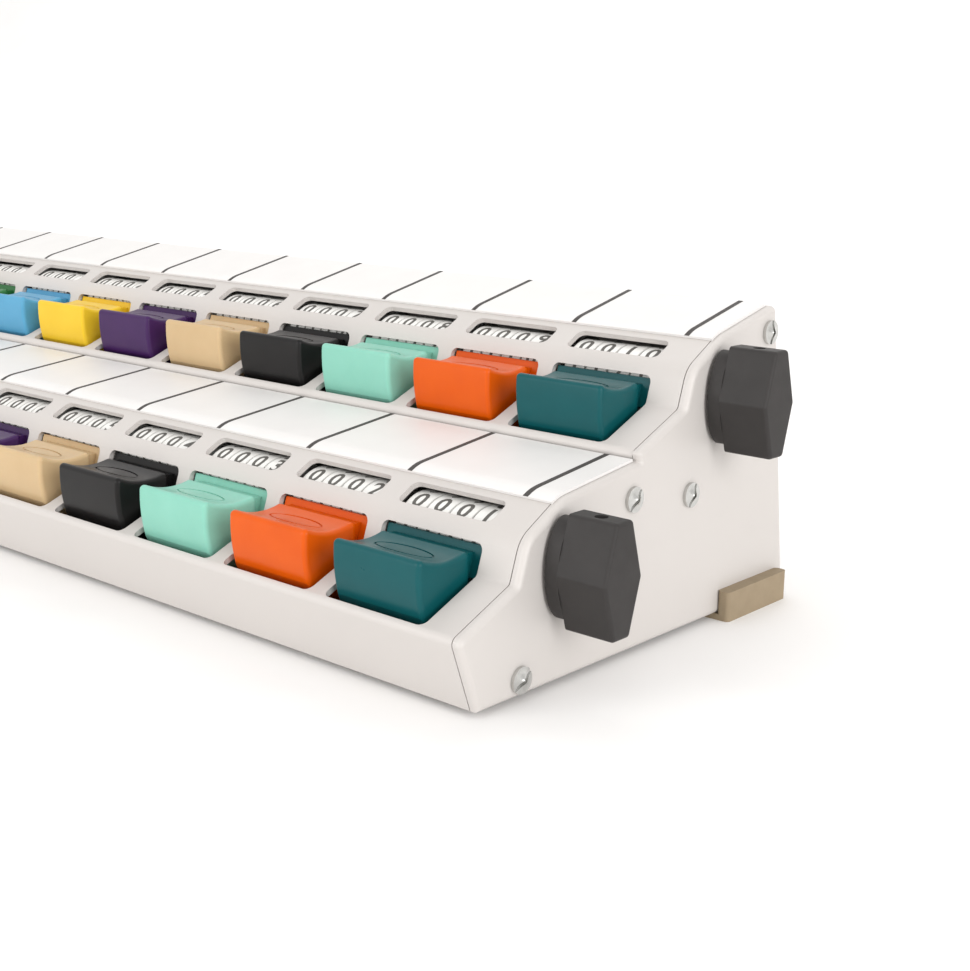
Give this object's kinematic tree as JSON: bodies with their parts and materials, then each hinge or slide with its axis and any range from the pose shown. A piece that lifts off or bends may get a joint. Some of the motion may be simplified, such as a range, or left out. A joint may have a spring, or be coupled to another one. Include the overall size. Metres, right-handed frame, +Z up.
{
  "type": "bench tally counter",
  "caption": "Two-tier bench tally counter: coloured press keys step figure drums behind windows, and a bar knob at the end of each tier turns the drums back to zero.",
  "frame": {"origin": "centre of the bounding box, on the surface the feet stand on", "axes": "+Z up, -Y towards the person pressing the keys, +X towards the reset knobs"},
  "size_m": [0.3338, 0.1098, 0.0672],
  "materials": {
    "casing_paint": "satin light warm grey paint",
    "label_strip": "white write-on strip, satin",
    "foot_rubber": "matt khaki rubber",
    "plated_screw": "bright nickel plate",
    "bright_steel": "bright drawn steel",
    "zinc_plate": "dull zinc-plated sheet steel",
    "nylon": "natural nylon",
    "bronze": "sintered bronze",
    "spring_wire": "spring steel wire",
    "knob_plastic": "matt dark grey moulded plastic",
    "drum_plastic": "white moulded plastic",
    "key_teal": "moulded plastic, soft gloss",
    "key_orange": "moulded plastic, soft gloss",
    "key_mint": "moulded plastic, soft gloss",
    "key_black": "moulded plastic, soft gloss",
    "key_cream": "moulded plastic, soft gloss",
    "key_purple": "moulded plastic, soft gloss",
    "key_yellow": "moulded plastic, soft gloss",
    "key_sky_blue": "moulded plastic, soft gloss",
    "key_green": "moulded plastic, soft gloss",
    "key_red": "moulded plastic, soft gloss"
  },
  "bodies": {
    "casing": {"base_tray": "casing_paint", "end_panel_left": "casing_paint", "end_panel_right": "casing_paint", "front_cover": "casing_paint", "rear_cover": "casing_paint", "label_strips": "label_strip", "feet": "foot_rubber", "side_screws": "plated_screw", "tie_bars": "bright_steel", "bearing_plates": "zinc_plate", "mechanism_rods": "bright_steel", "transfer_pinions": "nylon", "shaft_bushes": "bronze", "key_springs": "spring_wire"},
    "reset_front": {"reset_knob_front": "knob_plastic", "reset_shaft_front": "bright_steel", "carry_wheels_front": "drum_plastic"},
    "key_front_01": {"key_front_01": "key_teal"},
    "units_wheel_front_01": {"units_wheel_front_01": "drum_plastic"},
    "key_front_02": {"key_front_02": "key_orange"},
    "units_wheel_front_02": {"units_wheel_front_02": "drum_plastic"},
    "key_front_03": {"key_front_03": "key_mint"},
    "units_wheel_front_03": {"units_wheel_front_03": "drum_plastic"},
    "key_front_04": {"key_front_04": "key_black"},
    "units_wheel_front_04": {"units_wheel_front_04": "drum_plastic"},
    "key_front_05": {"key_front_05": "key_cream"},
    "units_wheel_front_05": {"units_wheel_front_05": "drum_plastic"},
    "key_front_06": {"key_front_06": "key_purple"},
    "units_wheel_front_06": {"units_wheel_front_06": "drum_plastic"},
    "key_front_07": {"key_front_07": "key_yellow"},
    "units_wheel_front_07": {"units_wheel_front_07": "drum_plastic"},
    "key_front_08": {"key_front_08": "key_sky_blue"},
    "units_wheel_front_08": {"units_wheel_front_08": "drum_plastic"},
    "key_front_09": {"key_front_09": "key_green"},
    "units_wheel_front_09": {"units_wheel_front_09": "drum_plastic"},
    "key_front_10": {"key_front_10": "key_red"},
    "units_wheel_front_10": {"units_wheel_front_10": "drum_plastic"},
    "reset_rear": {"reset_knob_rear": "knob_plastic", "reset_shaft_rear": "bright_steel", "carry_wheels_rear": "drum_plastic"},
    "key_rear_01": {"key_rear_01": "key_teal"},
    "units_wheel_rear_01": {"units_wheel_rear_01": "drum_plastic"},
    "key_rear_02": {"key_rear_02": "key_orange"},
    "units_wheel_rear_02": {"units_wheel_rear_02": "drum_plastic"},
    "key_rear_03": {"key_rear_03": "key_mint"},
    "units_wheel_rear_03": {"units_wheel_rear_03": "drum_plastic"},
    "key_rear_04": {"key_rear_04": "key_black"},
    "units_wheel_rear_04": {"units_wheel_rear_04": "drum_plastic"},
    "key_rear_05": {"key_rear_05": "key_cream"},
    "units_wheel_rear_05": {"units_wheel_rear_05": "drum_plastic"},
    "key_rear_06": {"key_rear_06": "key_purple"},
    "units_wheel_rear_06": {"units_wheel_rear_06": "drum_plastic"},
    "key_rear_07": {"key_rear_07": "key_yellow"},
    "units_wheel_rear_07": {"units_wheel_rear_07": "drum_plastic"},
    "key_rear_08": {"key_rear_08": "key_sky_blue"},
    "units_wheel_rear_08": {"units_wheel_rear_08": "drum_plastic"},
    "key_rear_09": {"key_rear_09": "key_green"},
    "units_wheel_rear_09": {"units_wheel_rear_09": "drum_plastic"},
    "key_rear_10": {"key_rear_10": "key_red"},
    "units_wheel_rear_10": {"units_wheel_rear_10": "drum_plastic"}
  },
  "joints": [
    {"name": "reset_front", "type": "hinge", "parent": "casing", "child": "reset_front", "pos_m": [0, -0.0284, 0.0239], "axis": [1, 0, 0], "continuous": true},
    {"name": "press_front_01", "type": "hinge", "parent": "casing", "child": "key_front_01", "pos_m": [0.1291, -0.0124, 0.0183], "axis": [1, 0, 0], "range_deg": [0, 6.5], "stiffness_Nm_per_rad": 0.12, "springref_deg": -8.59, "deforming": ["key_springs"]},
    {"name": "count_front_01", "type": "hinge", "parent": "reset_front", "child": "units_wheel_front_01", "pos_m": [0.1291, -0.0284, 0.0239], "axis": [1, 0, 0], "range_deg": [-36.5, 0]},
    {"name": "press_front_02", "type": "hinge", "parent": "casing", "child": "key_front_02", "pos_m": [0.0991, -0.0124, 0.0183], "axis": [1, 0, 0], "range_deg": [0, 6.5], "stiffness_Nm_per_rad": 0.12, "springref_deg": -8.59, "deforming": ["key_springs"]},
    {"name": "count_front_02", "type": "hinge", "parent": "reset_front", "child": "units_wheel_front_02", "pos_m": [0.0991, -0.0284, 0.0239], "axis": [1, 0, 0], "range_deg": [-36.5, 0]},
    {"name": "press_front_03", "type": "hinge", "parent": "casing", "child": "key_front_03", "pos_m": [0.0691, -0.0124, 0.0183], "axis": [1, 0, 0], "range_deg": [0, 6.5], "stiffness_Nm_per_rad": 0.12, "springref_deg": -8.59, "deforming": ["key_springs"]},
    {"name": "count_front_03", "type": "hinge", "parent": "reset_front", "child": "units_wheel_front_03", "pos_m": [0.0691, -0.0284, 0.0239], "axis": [1, 0, 0], "range_deg": [-36.5, 0]},
    {"name": "press_front_04", "type": "hinge", "parent": "casing", "child": "key_front_04", "pos_m": [0.0391, -0.0124, 0.0183], "axis": [1, 0, 0], "range_deg": [0, 6.5], "stiffness_Nm_per_rad": 0.12, "springref_deg": -8.59, "deforming": ["key_springs"]},
    {"name": "count_front_04", "type": "hinge", "parent": "reset_front", "child": "units_wheel_front_04", "pos_m": [0.0391, -0.0284, 0.0239], "axis": [1, 0, 0], "range_deg": [-36.5, 0]},
    {"name": "press_front_05", "type": "hinge", "parent": "casing", "child": "key_front_05", "pos_m": [0.0091, -0.0124, 0.0183], "axis": [1, 0, 0], "range_deg": [0, 6.5], "stiffness_Nm_per_rad": 0.12, "springref_deg": -8.59, "deforming": ["key_springs"]},
    {"name": "count_front_05", "type": "hinge", "parent": "reset_front", "child": "units_wheel_front_05", "pos_m": [0.0091, -0.0284, 0.0239], "axis": [1, 0, 0], "range_deg": [-36.5, 0]},
    {"name": "press_front_06", "type": "hinge", "parent": "casing", "child": "key_front_06", "pos_m": [-0.0209, -0.0124, 0.0183], "axis": [1, 0, 0], "range_deg": [0, 6.5], "stiffness_Nm_per_rad": 0.12, "springref_deg": -8.59, "deforming": ["key_springs"]},
    {"name": "count_front_06", "type": "hinge", "parent": "reset_front", "child": "units_wheel_front_06", "pos_m": [-0.0209, -0.0284, 0.0239], "axis": [1, 0, 0], "range_deg": [-36.5, 0]},
    {"name": "press_front_07", "type": "hinge", "parent": "casing", "child": "key_front_07", "pos_m": [-0.0509, -0.0124, 0.0183], "axis": [1, 0, 0], "range_deg": [0, 6.5], "stiffness_Nm_per_rad": 0.12, "springref_deg": -8.59, "deforming": ["key_springs"]},
    {"name": "count_front_07", "type": "hinge", "parent": "reset_front", "child": "units_wheel_front_07", "pos_m": [-0.0509, -0.0284, 0.0239], "axis": [1, 0, 0], "range_deg": [-36.5, 0]},
    {"name": "press_front_08", "type": "hinge", "parent": "casing", "child": "key_front_08", "pos_m": [-0.0809, -0.0124, 0.0183], "axis": [1, 0, 0], "range_deg": [0, 6.5], "stiffness_Nm_per_rad": 0.12, "springref_deg": -8.59, "deforming": ["key_springs"]},
    {"name": "count_front_08", "type": "hinge", "parent": "reset_front", "child": "units_wheel_front_08", "pos_m": [-0.0809, -0.0284, 0.0239], "axis": [1, 0, 0], "range_deg": [-36.5, 0]},
    {"name": "press_front_09", "type": "hinge", "parent": "casing", "child": "key_front_09", "pos_m": [-0.1109, -0.0124, 0.0183], "axis": [1, 0, 0], "range_deg": [0, 6.5], "stiffness_Nm_per_rad": 0.12, "springref_deg": -8.59, "deforming": ["key_springs"]},
    {"name": "count_front_09", "type": "hinge", "parent": "reset_front", "child": "units_wheel_front_09", "pos_m": [-0.1109, -0.0284, 0.0239], "axis": [1, 0, 0], "range_deg": [-36.5, 0]},
    {"name": "press_front_10", "type": "hinge", "parent": "casing", "child": "key_front_10", "pos_m": [-0.1409, -0.0124, 0.0183], "axis": [1, 0, 0], "range_deg": [0, 6.5], "stiffness_Nm_per_rad": 0.12, "springref_deg": -8.59, "deforming": ["key_springs"]},
    {"name": "count_front_10", "type": "hinge", "parent": "reset_front", "child": "units_wheel_front_10", "pos_m": [-0.1409, -0.0284, 0.0239], "axis": [1, 0, 0], "range_deg": [-36.5, 0]},
    {"name": "reset_rear", "type": "hinge", "parent": "casing", "child": "reset_rear", "pos_m": [0, 0.0231, 0.0495], "axis": [1, 0, 0], "continuous": true},
    {"name": "press_rear_01", "type": "hinge", "parent": "casing", "child": "key_rear_01", "pos_m": [0.1291, 0.0391, 0.0439], "axis": [1, 0, 0], "range_deg": [0, 6.5], "stiffness_Nm_per_rad": 0.12, "springref_deg": -8.59, "deforming": ["key_springs"]},
    {"name": "count_rear_01", "type": "hinge", "parent": "reset_rear", "child": "units_wheel_rear_01", "pos_m": [0.1291, 0.0231, 0.0495], "axis": [1, 0, 0], "range_deg": [-36.5, 0]},
    {"name": "press_rear_02", "type": "hinge", "parent": "casing", "child": "key_rear_02", "pos_m": [0.0991, 0.0391, 0.0439], "axis": [1, 0, 0], "range_deg": [0, 6.5], "stiffness_Nm_per_rad": 0.12, "springref_deg": -8.59, "deforming": ["key_springs"]},
    {"name": "count_rear_02", "type": "hinge", "parent": "reset_rear", "child": "units_wheel_rear_02", "pos_m": [0.0991, 0.0231, 0.0495], "axis": [1, 0, 0], "range_deg": [-36.5, 0]},
    {"name": "press_rear_03", "type": "hinge", "parent": "casing", "child": "key_rear_03", "pos_m": [0.0691, 0.0391, 0.0439], "axis": [1, 0, 0], "range_deg": [0, 6.5], "stiffness_Nm_per_rad": 0.12, "springref_deg": -8.59, "deforming": ["key_springs"]},
    {"name": "count_rear_03", "type": "hinge", "parent": "reset_rear", "child": "units_wheel_rear_03", "pos_m": [0.0691, 0.0231, 0.0495], "axis": [1, 0, 0], "range_deg": [-36.5, 0]},
    {"name": "press_rear_04", "type": "hinge", "parent": "casing", "child": "key_rear_04", "pos_m": [0.0391, 0.0391, 0.0439], "axis": [1, 0, 0], "range_deg": [0, 6.5], "stiffness_Nm_per_rad": 0.12, "springref_deg": -8.59, "deforming": ["key_springs"]},
    {"name": "count_rear_04", "type": "hinge", "parent": "reset_rear", "child": "units_wheel_rear_04", "pos_m": [0.0391, 0.0231, 0.0495], "axis": [1, 0, 0], "range_deg": [-36.5, 0]},
    {"name": "press_rear_05", "type": "hinge", "parent": "casing", "child": "key_rear_05", "pos_m": [0.0091, 0.0391, 0.0439], "axis": [1, 0, 0], "range_deg": [0, 6.5], "stiffness_Nm_per_rad": 0.12, "springref_deg": -8.59, "deforming": ["key_springs"]},
    {"name": "count_rear_05", "type": "hinge", "parent": "reset_rear", "child": "units_wheel_rear_05", "pos_m": [0.0091, 0.0231, 0.0495], "axis": [1, 0, 0], "range_deg": [-36.5, 0]},
    {"name": "press_rear_06", "type": "hinge", "parent": "casing", "child": "key_rear_06", "pos_m": [-0.0209, 0.0391, 0.0439], "axis": [1, 0, 0], "range_deg": [0, 6.5], "stiffness_Nm_per_rad": 0.12, "springref_deg": -8.59, "deforming": ["key_springs"]},
    {"name": "count_rear_06", "type": "hinge", "parent": "reset_rear", "child": "units_wheel_rear_06", "pos_m": [-0.0209, 0.0231, 0.0495], "axis": [1, 0, 0], "range_deg": [-36.5, 0]},
    {"name": "press_rear_07", "type": "hinge", "parent": "casing", "child": "key_rear_07", "pos_m": [-0.0509, 0.0391, 0.0439], "axis": [1, 0, 0], "range_deg": [0, 6.5], "stiffness_Nm_per_rad": 0.12, "springref_deg": -8.59, "deforming": ["key_springs"]},
    {"name": "count_rear_07", "type": "hinge", "parent": "reset_rear", "child": "units_wheel_rear_07", "pos_m": [-0.0509, 0.0231, 0.0495], "axis": [1, 0, 0], "range_deg": [-36.5, 0]},
    {"name": "press_rear_08", "type": "hinge", "parent": "casing", "child": "key_rear_08", "pos_m": [-0.0809, 0.0391, 0.0439], "axis": [1, 0, 0], "range_deg": [0, 6.5], "stiffness_Nm_per_rad": 0.12, "springref_deg": -8.59, "deforming": ["key_springs"]},
    {"name": "count_rear_08", "type": "hinge", "parent": "reset_rear", "child": "units_wheel_rear_08", "pos_m": [-0.0809, 0.0231, 0.0495], "axis": [1, 0, 0], "range_deg": [-36.5, 0]},
    {"name": "press_rear_09", "type": "hinge", "parent": "casing", "child": "key_rear_09", "pos_m": [-0.1109, 0.0391, 0.0439], "axis": [1, 0, 0], "range_deg": [0, 6.5], "stiffness_Nm_per_rad": 0.12, "springref_deg": -8.59, "deforming": ["key_springs"]},
    {"name": "count_rear_09", "type": "hinge", "parent": "reset_rear", "child": "units_wheel_rear_09", "pos_m": [-0.1109, 0.0231, 0.0495], "axis": [1, 0, 0], "range_deg": [-36.5, 0]},
    {"name": "press_rear_10", "type": "hinge", "parent": "casing", "child": "key_rear_10", "pos_m": [-0.1409, 0.0391, 0.0439], "axis": [1, 0, 0], "range_deg": [0, 6.5], "stiffness_Nm_per_rad": 0.12, "springref_deg": -8.59, "deforming": ["key_springs"]},
    {"name": "count_rear_10", "type": "hinge", "parent": "reset_rear", "child": "units_wheel_rear_10", "pos_m": [-0.1409, 0.0231, 0.0495], "axis": [1, 0, 0], "range_deg": [-36.5, 0]}
  ],
  "couplings": [
    {"joint": "count_front_01", "follows": "press_front_01", "ratio": -5.5385},
    {"joint": "count_front_02", "follows": "press_front_02", "ratio": -5.5385},
    {"joint": "count_front_03", "follows": "press_front_03", "ratio": -5.5385},
    {"joint": "count_front_04", "follows": "press_front_04", "ratio": -5.5385},
    {"joint": "count_front_05", "follows": "press_front_05", "ratio": -5.5385},
    {"joint": "count_front_06", "follows": "press_front_06", "ratio": -5.5385},
    {"joint": "count_front_07", "follows": "press_front_07", "ratio": -5.5385},
    {"joint": "count_front_08", "follows": "press_front_08", "ratio": -5.5385},
    {"joint": "count_front_09", "follows": "press_front_09", "ratio": -5.5385},
    {"joint": "count_front_10", "follows": "press_front_10", "ratio": -5.5385},
    {"joint": "count_rear_01", "follows": "press_rear_01", "ratio": -5.5385},
    {"joint": "count_rear_02", "follows": "press_rear_02", "ratio": -5.5385},
    {"joint": "count_rear_03", "follows": "press_rear_03", "ratio": -5.5385},
    {"joint": "count_rear_04", "follows": "press_rear_04", "ratio": -5.5385},
    {"joint": "count_rear_05", "follows": "press_rear_05", "ratio": -5.5385},
    {"joint": "count_rear_06", "follows": "press_rear_06", "ratio": -5.5385},
    {"joint": "count_rear_07", "follows": "press_rear_07", "ratio": -5.5385},
    {"joint": "count_rear_08", "follows": "press_rear_08", "ratio": -5.5385},
    {"joint": "count_rear_09", "follows": "press_rear_09", "ratio": -5.5385},
    {"joint": "count_rear_10", "follows": "press_rear_10", "ratio": -5.5385}
  ]
}
